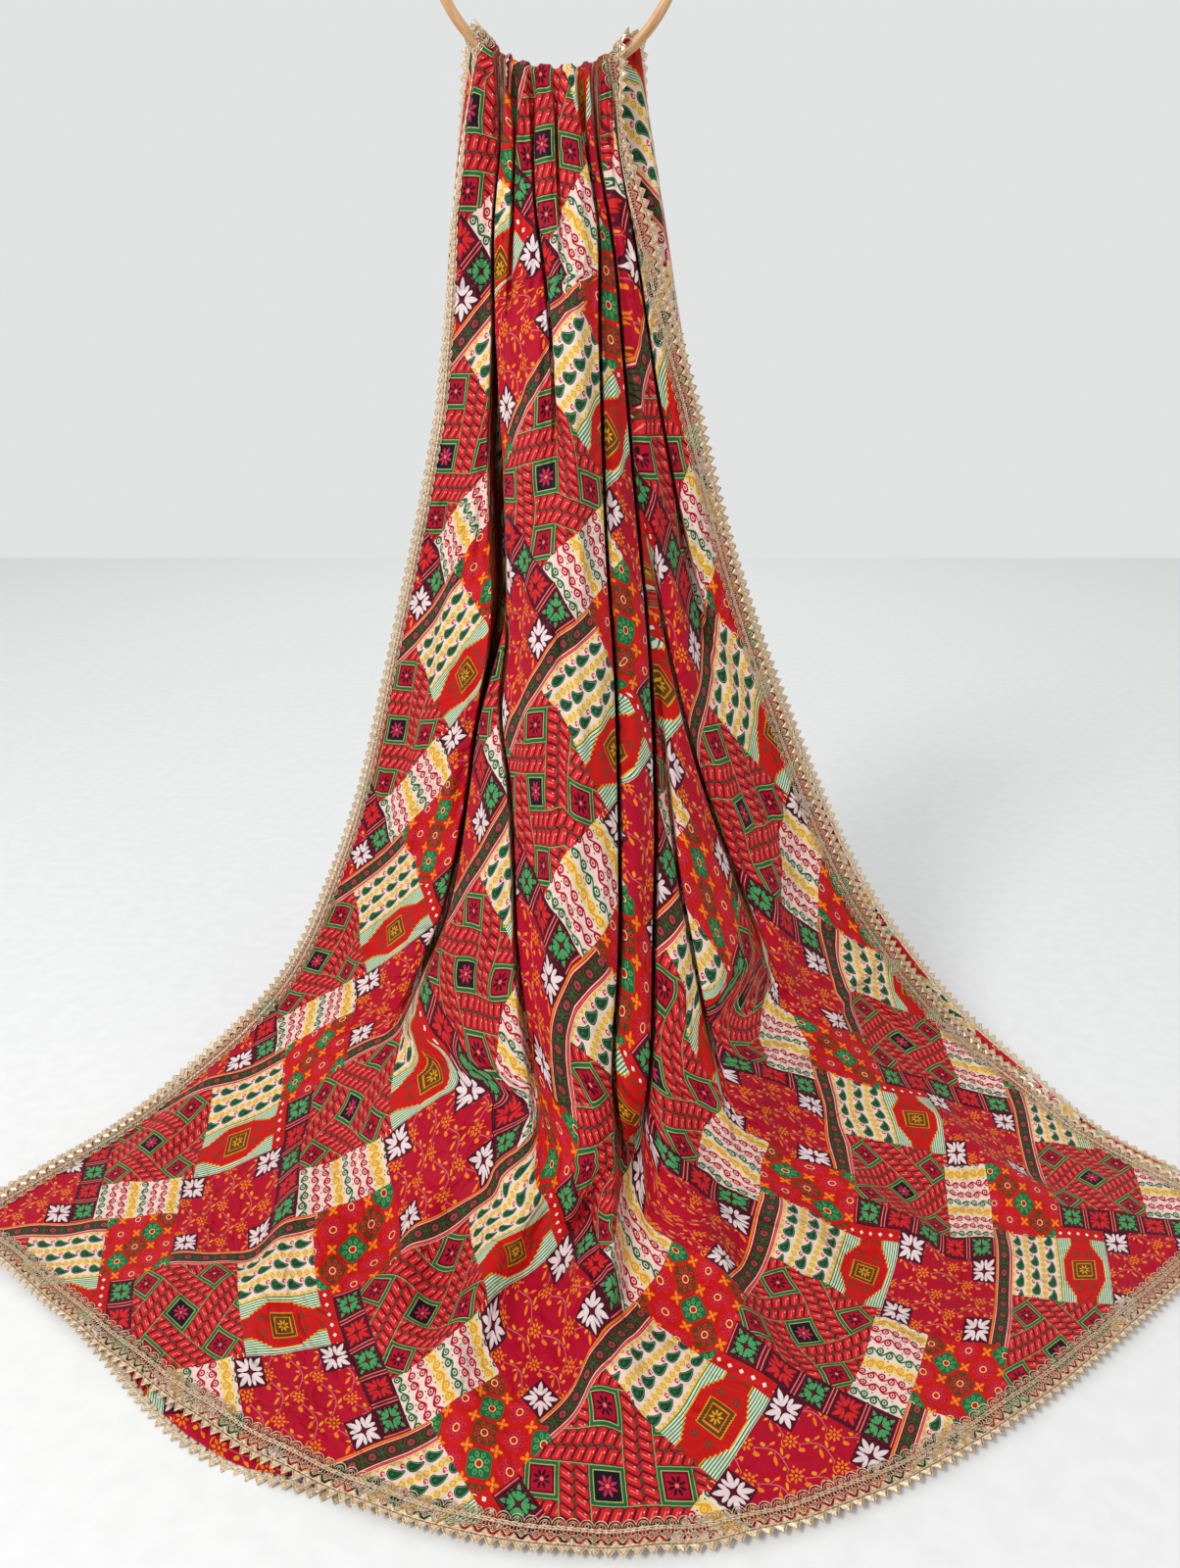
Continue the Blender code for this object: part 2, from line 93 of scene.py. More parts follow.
# The creases: which side lies over the other, -1 for left and 1 for right, and how far,
# then rows of cloth length below the ring, place from the left edge (0) to the right edge
# (1000), depth, and half width of the mouth.
SNUG, SHUT = 1.5, 2
CREASES = {
    "left_gap": (
        1, 6, (10, 150, 4.5, 5), (70, 148, 20, SNUG), (106, 130, 26, SNUG),
        (160, 150, 37, SHUT), (200, 182, 51, SHUT), (300, 245, 83, 7.5), (368, 283, 97, 7.5),
        (430, 299, 101, 6.5), (507, 265, 97, SHUT), (562, 253, 88, SHUT), (640, 246, 68, 3.5),
        (688, 238, 46, 4), (741, 216, 24, 5), (800, 207, 8, 10), (860, 206, 0, 11)),
    "left_pleat": (
        -1, 3, (10, 236, 4.5, 5), (67, 236, 20, SNUG), (110, 232, 22, SNUG), (210, 260, 0, 4)),
    "middle_pleat": (
        1, 3, (10, 353, 4.5, 5), (65, 347, 20, SNUG), (110, 357, 24, SNUG),
        (139, 387, 24, SNUG), (197, 437, 22, SHUT), (260, 460, 15, SHUT), (340, 470, 0, 8)),
    "small_pleat": (
        -1, 2, (10, 495, 4.5, 5), (48, 491, 15, SNUG), (85, 489, 15, SNUG), (190, 500, 0, 4)),
    "left_second": (
        -1, 4, (380, 302, 0, 6), (440, 330, 18, SHUT), (502, 322, 40, SHUT),
        (548, 345, 55, SHUT), (610, 362, 57, SHUT), (676, 377, 48, SHUT), (726, 391, 33, 3.5),
        (778, 411, 17, 4), (829, 433, 5, 8), (870, 450, 0, 9)),
    "main_right": (
        -1, 6, (10, 641, 4.5, 5), (73, 669, 22, SNUG), (110, 686, 31, SNUG),
        (175, 663, 48, SNUG), (248, 639, 66, SNUG), (366, 613, 86, SNUG), (450, 604, 92, SNUG),
        (581, 571, 92, SNUG), (688, 545, 81, SHUT), (781, 519, 51, SHUT), (822, 524, 26, 3.5),
        (880, 518, 6, 7.5), (930, 512, 0, 8.5)),
    "second_right": (
        -1, 4, (10, 740, 4.5, 5), (80, 735, 20, SNUG), (130, 752, 29, SNUG),
        (192, 748, 40, SNUG), (228, 742, 48, SNUG), (336, 721, 68, SNUG), (429, 703, 77, SNUG),
        (587, 643, 79, SHUT), (650, 618, 75, SHUT), (713, 593, 62, SHUT), (774, 567, 40, SHUT),
        (816, 551, 20, 3.5), (870, 540, 0, 7)),
    "third_right": (
        1, 3, (450, 702, 0, 5), (560, 684, 22, SHUT), (625, 672, 40, SHUT),
        (683, 670, 44, SHUT), (739, 664, 35, SHUT), (783, 664, 18, 4), (850, 668, 0, 7.5)),
    "outer_right": (
        -1, 4, (300, 760, 0, 6), (416, 748, 15, SHUT), (517, 753, 37, SHUT),
        (580, 764, 46, SHUT), (635, 778, 40, SHUT), (690, 786, 20, 4), (770, 792, 4, 10),
        (840, 795, 0, 11)),
    "right_pleat": (
        1, 2, (10, 855, 4.5, 5), (70, 860, 22, SNUG), (130, 868, 31, SNUG),
        (220, 868, 37, SNUG), (330, 866, 33, SHUT), (450, 868, 12, 6), (560, 870, 0, 8)),
}
FOOT_SHARE = 0.25
NEST_SPREAD = 0.0026
NEST_DEPTH = 0.008
ROLL_DEPTH = 0.0062
ROLL_WIDTH = 0.0085
SKIRT_SHARE = 0.10
SKIRT_WIDTH = 0.020
LIP_DEPTH = 0.020
LIP_REACH = 0.018
BLEND_POWER = 4

# Soft ridges (height above 0) and troughs (below 0): across and down where one starts,
# across and down where it ends, height and half width.
RIDGES = (
    (20, 865, 68, 1059, 8, 18), (190, 900, 245, 1070, 14, 20), (235, 800, 246, 990, 14, 16),
    (310, 820, 330, 1020, 11, 16), (405, 840, 381, 1030, 18, 16), (425, 850, 400, 965, 11, 10),
    (472, 850, 500, 1060, 14, 13), (503, 840, 453, 915, -16, 9), (505, 850, 517, 1010, 19, 10),
    (545, 820, 512, 975, -19, 9), (575, 800, 628, 1050, 19, 18), (660, 790, 680, 920, 16, 14),
    (680, 790, 785, 980, 14, 18), (720, 860, 740, 960, -6, 12), (850, 800, 910, 1030, 13, 20),
    (950, 760, 780, 800, 7, 16), (860, 640, 800, 750, 6, 12), (100, 550, 100, 800, 4, 14),
    (160, 300, 130, 620, 3, 10), (520, 200, 500, 520, 2, 12), (450, 550, 470, 800, 4, 14),
    (880, 180, 900, 550, 3, 14),
)
RIDGE_OUT, RIDGE_IN = 0.3, 0.15
RIDGE_END, RIDGE_CALM = 1.10, 0.96
SMOOTH_EDGE, SMOOTH_EDGE_END = 0.004, 0.026
LEAN_START, LEAN_END = 0.84, 0.95
FLOOR_SINK = 0.0022

# How far the front half's edges are drawn in near the ring, as (down, left, right)
FRONT_INSET = ((10, 1, 15), (60, -9, 14), (120, -13, 9), (180, -8, 5), (260, -1, 0),
               (340, 0, 0))

# How far the left edge of the front half is folded back, as (down, depth, width)
EDGE_TURN = ((10, 10, 5), (30, 22, 4), (55, 20, 4), (80, 15, 5), (170, 13, 6.5), (260, 10, 8),
             (600, 9, 8.5), (780, 5, 10), (880, 0, 12))

# How far both edges of the back half are folded back, as (down, left, right)
BACK_TURN = ((12, 0, 0), (40, 8, 20), (100, 14, 22), (200, 14, 22), (280, 0, 16), (400, 0, 0))
BACK_TURN_WIDTH = 0.0045
TURN_POWER = 1.3
NEST_TURN = 1.3

# Where the back half's hem shows below the front one, and by how much it stays short
PEEK_AT, PEEK_WIDTH, PEEK_OUT, HEM_SHORT = -0.215, 0.080, 0.022, 0.006
NEST_START, NEST_END = 0.03, 0.16

# Loose pleats of the back half: how many, and their depth as (down, depth)
GATHER_COUNT = 11
GATHER_DEPTH = ((40, 0), (140, 15), (500, 22), (720, 15), (840, 0))

# Fine grid of the cloth. Its columns are closer where the cloth turns: by RUN_WEIGHT of
# its length there, and that at most RUN_LIMIT times the width.
FRONT_ROWS = 226
BACK_ROWS = 112
TUBE_ROWS = 9
ACROSS_COLUMNS = 244
SAMPLES_ACROSS = 1601
SAMPLES_DOWN = 2001
RUN_WEIGHT, RUN_LIMIT = 0.45, 12
# Rows are closer in two places: their cloth length, half width and added weight
CLOSER_ROWS = ((0.88, 0.12, 0.7), (0, 0.10, 0.8))


def spline(knots, values):
    """A natural cubic spline through the values, as a function."""
    step = np.diff(knots)
    slope = np.diff(values) / step
    count = len(knots)
    matrix = np.eye(count)
    right = np.zeros(count)
    for i in range(1, count - 1):
        matrix[i, i - 1:i + 2] = step[i - 1], 2 * (step[i - 1] + step[i]), step[i]
        right[i] = 6 * (slope[i] - slope[i - 1])
    bend = np.linalg.solve(matrix, right)

    def value(at):
        at = np.clip(at, knots[0], knots[-1])
        i = np.clip(np.searchsorted(knots, at) - 1, 0, count - 2)
        a = (knots[i + 1] - at) / step[i]
        b = (at - knots[i]) / step[i]
        curve = (a**3 - a) * bend[i] + (b**3 - b) * bend[i + 1]
        return a * values[i] + b * values[i + 1] + curve * step[i]**2 / 6

    return value


def rise(at, start, end):
    """0 before start, 1 past end, and a soft rise between. It falls where end comes first."""
    t = np.clip((at - start) / (end - start), 0, 1)
    return t * t * (3 - 2 * t)


def bell(away, half):
    """1 in the middle, falling off on both sides."""
    return np.exp(-(away / half) ** 2)


def read(table, at, column=1):
    """A column of a table at a place between its rows. The first column has the places."""
    columns = np.array(table).T / 1000
    return np.interp(at, columns[0], columns[column])


def run_of(points):
    """Length of each step of a line."""
    return np.linalg.norm(np.diff(points, axis=0), axis=1)


def total_of(steps):
    """Running total of steps, from 0."""
    return np.concatenate([[0], np.cumsum(steps)])


def share_out(places, weights, count):
    """Places that share out the weights of the steps between the given ones."""
    travelled = total_of(weights)
    return np.interp(np.linspace(0, travelled[-1], count), travelled, places)


def vectors_at(places, length, vectors):
    """Vectors at places along a line, between those given at each length."""
    return np.stack([np.interp(places, length, part) for part in vectors.T], axis=1)


SECTION_PLACES, *SECTION_VALUES = np.array(SECTIONS).T / 1000
SECTION = {name: spline(SECTION_PLACES, values)
           for name, values in zip(SECTION_COLUMNS[1:], SECTION_VALUES)}


def edges(down):
    """Left and right edge of the drape at a length below the ring."""
    return SECTION["left"](down), SECTION["right"](down)


def front_edges(down):
    """Left and right edge of the front half."""
    left, right = edges(down)
    return left + read(FRONT_INSET, down, 1), right - read(FRONT_INSET, down, 2)


def back_edges(down):
    """Left and right edge of the back half."""
    left, right = edges(down)
    return left - SECTION["out_left"](down), right + SECTION["out_right"](down)


def share_across(x, down):
    """Place between the edges, from 0 at the left one to 1 at the right one."""
    left, right = edges(down)
    return (x - left) / (right - left)


class Crease:
    """One crease of the table: its place, depth and width at any length below the ring."""

    def __init__(self, side, lift, *rows):
        self.side, self.lift = side, lift / 1000
        self.down, across, self.depth, self.width = np.array(rows).T / 1000
        self.place = spline(self.down, across)

    def x(self, down):
        left, right = edges(down)
        return left + (right - left) * self.place(down)

    def deep(self, down):
        return np.interp(down, self.down, self.depth)

    def mouth(self, down):
        return np.interp(down, self.down, self.width)


FOLDS = {name: Crease(*rows) for name, rows in CREASES.items()}


def valley(x, down, spread=0, deep_at=None):
    """Depth of the creases at x. deep_at takes their depths from another row."""
    walls = np.zeros(np.broadcast(x, down).shape)
    skirts = np.zeros_like(walls)
    for fold in FOLDS.values():
        deep = fold.deep(down if deep_at is None else deep_at) + 0 * walls
        off = x - fold.x(down)
        away = np.abs(off)
        wider = spread * rise(deep, 0, NEST_DEPTH)
        mouth = fold.mouth(down) + wider
        foot = FOOT_SHARE * fold.mouth(down) + wider
        wall = 1 - rise(away, foot, mouth)
        walls += (deep * wall) ** BLEND_POWER
        lip = np.maximum(away - mouth, 0)
        roll = ROLL_DEPTH * rise(deep, 0, 3 * ROLL_DEPTH) * bell(lip, ROLL_WIDTH)
        skirt = SKIRT_SHARE * deep * bell(away, SKIRT_WIDTH)
        over = np.where(off * fold.side > 0, fold.lift * rise(deep, 0, LIP_DEPTH), 0)
        skirts += (roll + skirt - over * bell(away, LIP_REACH)) * (1 - wall)
    return walls ** (1 / BLEND_POWER) + skirts


def ridge(x, down):
    """Height of the soft ridges and troughs at x."""
    left, right = edges(down)
    height = np.zeros(np.broadcast(x, down).shape)
    for a0, d0, a1, d1, high, half in np.array(RIDGES) / 1000:
        t = (down - d0) / (d1 - d0)
        away = x - left - (a0 + (a1 - a0) * np.clip(t, 0, 1)) * (right - left)
        ends = rise(t, -RIDGE_OUT, RIDGE_IN) * rise(1 - t, -RIDGE_OUT, RIDGE_IN)
        height = height + high * ends * rise(down, RIDGE_END, RIDGE_CALM) * bell(away, half)
    return height


# Fine unevenness of a soft cloth: waves that run mostly along the fan
WAVE_SEED = 11
WAVE_COUNT = 42
WAVE_HEIGHT = 0.0007
WAVE_CALM = 0.35
WAVES = np.random.default_rng(WAVE_SEED).uniform(size=(WAVE_COUNT, 5))


def waver(x, down):
    """Height of the waves at x. They are lower near the ring, the edges and the hem."""
    across = share_across(x, down)
    height = np.zeros(np.broadcast(x, down).shape)
    for a, b, c, d, e in WAVES:
        turns_across = 3 + 22 * a
        turns_down = (b - 0.5) * 14
        bend = 0.35 * np.sin(math.tau * (down * (1 + 2 * d) + e))
        phase = math.tau * (across * turns_across + down * turns_down + c + bend)
        patch = 0.5 + 0.5 * np.sin(math.tau * (down * (1 + 3 * e) + across * 2 * d + a))
        height = height + WAVE_HEIGHT * patch * np.sin(phase) / (0.5 + a)
    inside = rise(across, 0, 0.06) * rise(across, 1, 0.94)
    grow = WAVE_CALM + (1 - WAVE_CALM) * rise(down, 0.05, 0.55)
    calm = WAVE_CALM + (1 - WAVE_CALM) * rise(down, HALF_LENGTH, HALF_LENGTH - 0.10)
    return height * inside * grow * calm


def relief(x, down, spread=0):
    """How far the cloth lies behind its arch. The strip that carries the lace is smooth."""
    left, right = edges(down)
    inside = rise(np.minimum(x - left, right - x), SMOOTH_EDGE, SMOOTH_EDGE_END)
    return valley(x, down, spread) - (ridge(x, down) + waver(x, down)) * inside


def folded_back(inside, depth, width):
    """How far an edge is folded back, at a distance inside it."""
    return depth * np.clip(1 - inside / width, 0, 1) ** TURN_POWER


def front_turn(x, down):
    """How far the front half's left edge is folded back at x."""
    depth, width = (read(EDGE_TURN, down, column) for column in (1, 2))
    return folded_back(x - front_edges(down)[0], depth, width)


def arch_of(x, down):
    """The arch between the two edges: its y and its z at x."""
    arch = np.sin(math.pi * np.clip(share_across(x, down), 0, 1))
    arch = np.maximum(arch, 0) ** SECTION["bulge"](down)
    return [SECTION["edge_" + way](down) * (1 - arch) + SECTION["mid_" + way](down) * arch
            for way in "yz"]


def lean_of(down):
    """0 where the cloth hangs, and a quarter turn where it lies on the floor."""
    return math.pi / 2 * rise(down, LEAN_START, LEAN_END)


def shifted(x, down, inward):
    """A point of the arch moved back where the cloth hangs, or down where it lies."""
    y, z = arch_of(x, down)
    lean = lean_of(down)
    sunk = np.where(inward > 0, FLOOR_SINK * np.tanh(inward / FLOOR_SINK), inward)
    inward = inward * np.cos(lean) ** 2 + sunk * np.sin(lean) ** 2
    return np.stack([x + 0 * y, y + np.cos(lean) * inward, z - np.sin(lean) * inward], axis=-1)


def front(x, down):
    """The front half."""
    return shifted(x, down, relief(x, down) + front_turn(x, down))


def gather(x, down):
    """Loose pleats of the back half, which stand out behind it."""
    across = share_across(x, down)
    turns = across * GATHER_COUNT + 0.35 * np.sin(math.tau * (across * 2.3 + down * 1.7))
    sway = 0.7 + 0.3 * np.sin(math.tau * (across * 3.1 - down * 2.2))
    inside = rise(across, 0.05, 0.15) * rise(across, 0.95, 0.85)
    return read(GATHER_DEPTH, down) * sway * inside * (0.5 - 0.5 * np.cos(math.tau * turns))


def back(x, down):
    """The back half, nested behind the front one below the ring."""
    inward = relief(x, down, NEST_SPREAD) + NEST_TURN * front_turn(x, down) + gather(x, down)
    nested = shifted(x, down, inward)
    off, lean = SECTION["off"](down), lean_of(down)
    nested[..., 1] += off * np.cos(lean)
    nested[..., 2] -= off * np.sin(lean)
    behind_ring = CREST_RADIUS - np.minimum(valley(x, down, deep_at=TOP), PLEAT_RELIEF)
    nest = rise(down, NEST_START, NEST_END)
    nested[..., 1] = behind_ring * (1 - nest) + nested[..., 1] * nest
    peek = PEEK_OUT * bell(x - PEEK_AT, PEEK_WIDTH) - HEM_SHORT
    nested[..., 1] -= peek * rise(down, LEAN_END, HALF_LENGTH)
    left, right = back_edges(down)
    for column, inside in ((1, x - left), (2, right - x)):
        nested[..., 1] += folded_back(inside, read(BACK_TURN, down, column), BACK_TURN_WIDTH)
    return nested


def over_ring(x, angle):
    """Where the cloth bends over the ring's tube, angle -90 to 90 degrees."""
    swing = np.arcsin(x / RING_RADIUS)
    reach = CREST_RADIUS - np.minimum(valley(x, TOP + 0 * x), PLEAT_RELIEF)
    lift = reach * math.cos(angle)
    tube_z = RING_CENTRE_HEIGHT - RING_RADIUS * np.cos(swing)
    return np.stack([x - lift * np.sin(swing), reach * math.sin(angle),
                     tube_z + lift * np.cos(swing)], axis=-1)


def even_columns(surface, down, low, high):
    """The x of the columns in one row, closer together where the cloth turns."""
    x = np.linspace(low, high, SAMPLES_ACROSS)
    run = run_of(surface(x, np.full(x.shape, down)))
    weights = np.diff(x) + RUN_WEIGHT * np.minimum(run, RUN_LIMIT * np.diff(x))
    return share_out(x, weights, ACROSS_COLUMNS)


def row_places(count):
    """Cloth lengths of the rows, closer at the ring and where the cloth meets the floor."""
    fine = np.linspace(TOP, HALF_LENGTH, SAMPLES_DOWN)
    weight = 1 + sum(added * bell(fine - at, half) for at, half, added in CLOSER_ROWS)
    return share_out(fine, (weight[1:] + weight[:-1]) / 2, count)


# Threads that the print follows down each panel: the cloth width that runs there, in
# metres. The main one has a table of its place too, as (down, across).
MAIN_THREAD = 0.552
MAIN_THREAD_PLACE = ((10, 400), (60, 407), (310, 437), (543, 440), (760, 462), (900, 485),
                     (1125, 495))
PRINT_FOLDS = ("left_gap", "left_second", "main_right", "second_right", "third_right",
               "outer_right")
PANEL_THREADS = (0, 0.395, MAIN_THREAD, 0.632, 0.712, 0.790, CLOTH_WIDTH)
MAIN_PANEL = PANEL_THREADS.index(MAIN_THREAD)
HELD_LEAST, HELD_MOST, HELD_MAIN = 0.002, 0.05, 0.2
TIE = 0.1
HIDE_START, HIDE_END = 0.003, 0.016
PLEATED_END, OPEN_START = 0.06, 0.11
SPREAD_START, SPREAD_END = 0.70, 0.90


def print_across(x, points, down):
    """Cloth width at each column of a row: true to size on the panels, the rest in creases."""
    arc = total_of(run_of(points))
    folds = [FOLDS[name] for name in PRINT_FOLDS]
    places, mouths, depths = np.array(
        [(fold.x(down), fold.mouth(down), fold.deep(down)) for fold in folds]).T
    lows = np.concatenate([[x[0]], places + mouths])
    highs = np.concatenate([places - mouths, [x[-1]]])
    left, right = edges(down)
    centre_x = (lows + highs) / 2
    centre_x[0], centre_x[-1] = x[0], x[-1]
    centre_x[MAIN_PANEL] = left + (right - left) * read(MAIN_THREAD_PLACE, down)
    wanted = np.array(PANEL_THREADS) - np.interp(centre_x, x, arc)
    # A wide panel keeps to its thread more than a narrow one, and the main panel most
    held = np.clip(highs - lows, HELD_LEAST, HELD_MOST)
    held[MAIN_PANEL] = HELD_MAIN
    # Panels on both sides of a crease that has closed up move together
    hides = rise(depths, HIDE_START, HIDE_END)
    from_top = np.array([fold.down[0] == TOP for fold in folds])
    hides = np.maximum(hides, from_top * (1 - rise(down, PLEATED_END, OPEN_START)))
    tied = TIE * (1 / np.clip(hides, 1e-4, 1) - 1)
    matrix = np.diag(held)
    for i, tie in enumerate(tied):
        matrix[i:i + 2, i:i + 2] += tie * np.array([[1, -1], [-1, 1]])
    moved = np.linalg.solve(matrix, held * wanted)
    known_arc = np.interp(np.stack([lows, highs], axis=1).ravel(), x, arc)
    known_u = known_arc + np.repeat(moved, 2)
    below = np.minimum(known_u - MAIN_THREAD, 0)
    above = np.maximum(known_u - MAIN_THREAD, 0)
    known_u = (MAIN_THREAD + below * MAIN_THREAD / -below[0]
               + above * (CLOTH_WIDTH - MAIN_THREAD) / above[-1])
    free = rise(down, SPREAD_START, SPREAD_END)
    known_u = known_u * (1 - free) + known_arc * CLOTH_WIDTH / arc[-1] * free
    return np.interp(arc, known_arc, np.maximum.accumulate(known_u))


# How far the print is drawn out of place by the folds, at a few places across the cloth.
# A row has the place across, then pairs (place from the front hem, shift).
PRINT_SHIFTS_ALONG = (
    (50, ((0, -25), (156, 30), (365, 56), (592, 77), (826, 90))),
    (400, ((0, -4), (145, 26), (365, 6), (592, -2), (826, 12))),
    (560, ((0, 12), (200, 0), (582, -37), (815, -22), (1064, -24))),
    (880, ((0, 30), (198, 109), (386, 159), (600, 130), (1000, 60))),
)
PRINT_SHIFTS_ACROSS = (
    (180, ((0, 9), (140, 10), (360, 43), (590, 41), (830, 48))),
    (400, ((0, -4), (140, -8), (360, 10), (830, 10))),
    (550, ((0, 0), (300, 12), (550, 28), (790, 11), (1040, 13))),
    (880, ((0, 0), (190, -3), (386, 32), (600, 20), (1000, 0))),
)


def print_shift(table, across, along):
    """How far the print is out of place at the points of a row."""
    places = [place / 1000 for place, _ in table]
    return np.interp(across, places, [read(pairs, along) for _, pairs in table])


def cloth_row(surface, down, ends):
    """One row of a half: the x of its columns, its points and the print's place across."""
    x = even_columns(surface, down, *ends)
    points = surface(x, np.full(x.shape, down))
    return x, points, print_across(x, points, down)


def cloth_grid():
    """Points of the whole cloth, front hem to back hem, and the print's place on each."""
    front_downs = row_places(FRONT_ROWS)[::-1]
    back_downs = row_places(BACK_ROWS)
    front_half = [cloth_row(front, down, front_edges(down)) for down in front_downs]
    back_half = [cloth_row(back, down, back_edges(down)) for down in back_downs]
    front_x, _, front_u = front_half[-1]
    back_x, _, back_u = back_half[0]
    shares = np.arange(1, TUBE_ROWS) / TUBE_ROWS
    bend = []
    for share in shares:
        x = front_x * (1 - share) + back_x * share
        bend.append((x, over_ring(x, math.pi * (share - 0.5)),
                     front_u * (1 - share) + back_u * share))
    _, points, across = (np.array(part) for part in zip(*front_half, *bend, *back_half))
    along = HALF_LENGTH + np.concatenate([-front_downs, TOP * (2 * shares - 1), back_downs])
    across_shift, along_shift = (
        np.array([print_shift(table, *row) for row in zip(across, along)])
        for table in (PRINT_SHIFTS_ACROSS, PRINT_SHIFTS_ALONG))
    return points, across + across_shift, along[:, None] + along_shift


def add_object(name, data, place=(0, 0, 0), turn=(0, 0, 0)):
    made = bpy.data.objects.new(name, data)
    made.location = place
    made.rotation_euler = turn
    bpy.context.scene.collection.objects.link(made)
    return made


def new_piece(name, points, faces):
    """A smooth mesh object, lowered from floor coordinates to those of the frame."""
    mesh = bpy.data.meshes.new(name)
    mesh.from_pydata((points - (0, 0, FLOOR_DROP)).tolist(), [], faces)
    mesh.shade_smooth()
    return add_object(name, mesh)


def dress(piece, node, material):
    """Gives a piece its material, puts it under the root body and hides the node it stands for."""
    piece.data.materials.append(material)
    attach(piece, "root")
    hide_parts(node)


def make_cloth(grid, across, along):
    rows, columns = across.shape
    corner = (np.arange(rows - 1)[:, None] * columns + np.arange(columns - 1)).ravel()
    faces = np.stack([corner, corner + 1, corner + columns + 1, corner + columns], axis=1)
    piece = new_piece("printed_cloth", grid.reshape(-1, 3), faces.tolist())
    for name, places in (("across", across), ("along", along)):
        layer = piece.data.attributes.new(name, "FLOAT", "POINT")
        layer.data.foreach_set("value", places.astype(np.float32).ravel())
    dress(piece, "cloth", printed_chinon())
    return piece


# The print is drawn in its own units, a millimetre across the cloth and 1.25 along it.
# One repeat holds every block, and repeats stand in columns that drop by half.
COLUMN_STEP, ROW_STEP = 165, 198
LENGTH_SHARE = 0.8
BLACK_SQUARE_AT = (562, 40)
COLOURS = {
    "crimson": (178, 6, 40), "orange": (238, 128, 24), "stem": (214, 96, 104),
    "maroon": (100, 10, 34), "dark": (44, 10, 26), "night": (24, 16, 30),
    "petal": (236, 214, 214), "green": (24, 104, 56), "deep_green": (28, 66, 44),
    "olive": (70, 66, 36), "cream": (234, 212, 140), "coral": (208, 36, 36),
    "pink": (240, 120, 110), "rose": (204, 40, 76), "amber": (230, 158, 20),
    "blush": (240, 212, 200), "mint": (214, 230, 200), "red": (196, 20, 18),
    "leaf": (74, 156, 92), "moss": (186, 176, 104), "brown": (92, 62, 20),
    "white": (238, 230, 218),
}


def linear(colour):
    """Scene linear colour of an 8-bit one, opaque."""
    values = [c / 255 for c in colour]
    return [c / 12.92 if c <= 0.04045 else ((c + 0.055) / 1.055) ** 2.4 for c in values] + [1]


def feed(node, inputs):
    """Sets or links inputs of a node: numbers, colours, terms or other nodes' outputs."""
    for key, value in inputs.items():
        value = value.socket if isinstance(value, Term) else value
        if isinstance(value, bpy.types.NodeSocket):
            Term.tree.links.new(value, node.inputs[key])
        else:
            node.inputs[key].default_value = value


def new_node(kind, inputs=None, **settings):
    """A node in the material that is being made."""
    node = Term.tree.nodes.new("ShaderNode" + kind)
    for key, value in settings.items():
        setattr(node, key, value)
    feed(node, inputs or {})
    return node


def math_node(operation):
    """A function that makes a term of its parts."""
    def joined(*parts):
        return Term(new_node("Math", dict(enumerate(parts)), operation=operation).outputs[0])

    return joined


larger, smaller = math_node("MAXIMUM"), math_node("MINIMUM")
sign, root = math_node("SIGN"), math_node("SQRT")
turn_of = math_node("ARCTAN2")


class Term:
    """A number in a material: a node's output, with arithmetic."""

    tree = None

    def __init__(self, socket):
        self.socket = socket

    __add__ = math_node("ADD")
    __sub__ = math_node("SUBTRACT")
    __mul__ = math_node("MULTIPLY")
    __truediv__ = math_node("DIVIDE")
    __lt__ = math_node("LESS_THAN")
    __gt__ = math_node("GREATER_THAN")
    __and__ = math_node("MULTIPLY")
    __or__ = math_node("MAXIMUM")
    __abs__ = math_node("ABSOLUTE")
    floor = math_node("FLOOR")
    # 0 to a pitch, over and over
    repeat = math_node("FLOORED_MODULO")

    def __rsub__(self, other):
        return math_node("SUBTRACT")(other, self)

    def __invert__(self):
        return 1 - self

    def within(self, low, high):
        """1 where low < self < high."""
        return math_node("COMPARE")(self, (low + high) / 2, (high - low) / 2)

    def near(self, pitch, start=0):
        """Distance along from the nearest of the places start, start + pitch and so on."""
        return (self - (start - pitch / 2)).repeat(pitch) - pitch / 2

    def sine(self, length):
        return math_node("SINE")(self * (math.tau / length))


def radius(x, y):
    return root(math_node("MULTIPLY_ADD")(x, x, y * y))


def box(x, y, width, height):
    """1 inside a box around (0, 0)."""
    return (abs(x) < width / 2) & (abs(y) < height / 2)


def slanted(x, y):
    """The place (x, y) in directions that are turned by 45 degrees."""
    return (x - y) * math.sqrt(0.5), (x + y) * math.sqrt(0.5)


def mixed(share, under, over, blend="MIX"):
    """The colour under, with a share of the colour over mixed in."""
    node = new_node("Mix", {0: share, 6: under, 7: over}, data_type="RGBA", blend_type=blend)
    return node.outputs[2]


class Paint:
    """A colour that is built up by painting over parts of it: paint[where] = colour."""

    def __init__(self, name):
        self.colour = linear(COLOURS[name])

    def __setitem__(self, where, over):
        over = over.colour if isinstance(over, Paint) else linear(COLOURS[over])
        self.colour = mixed(where, self.colour, over)

    def nest(self, away, *layers):
        """Paints shapes inside one another: a limit of the distance and a colour for each."""
        for limit, name in layers:
            self[away < limit] = name


def petals(x, y, count, start, end, half):
    """Leaf-shaped petals around (0, 0), from start to end away from it."""
    r = radius(x, y)
    angle = turn_of(y, x) * (count / math.tau)
    aside = abs(angle.repeat(1) - 0.5) * r * (math.tau / count)
    middle = (start + end) / 2
    share = (r - middle) / (middle - start)
    return aside < (1 - share * share) * half


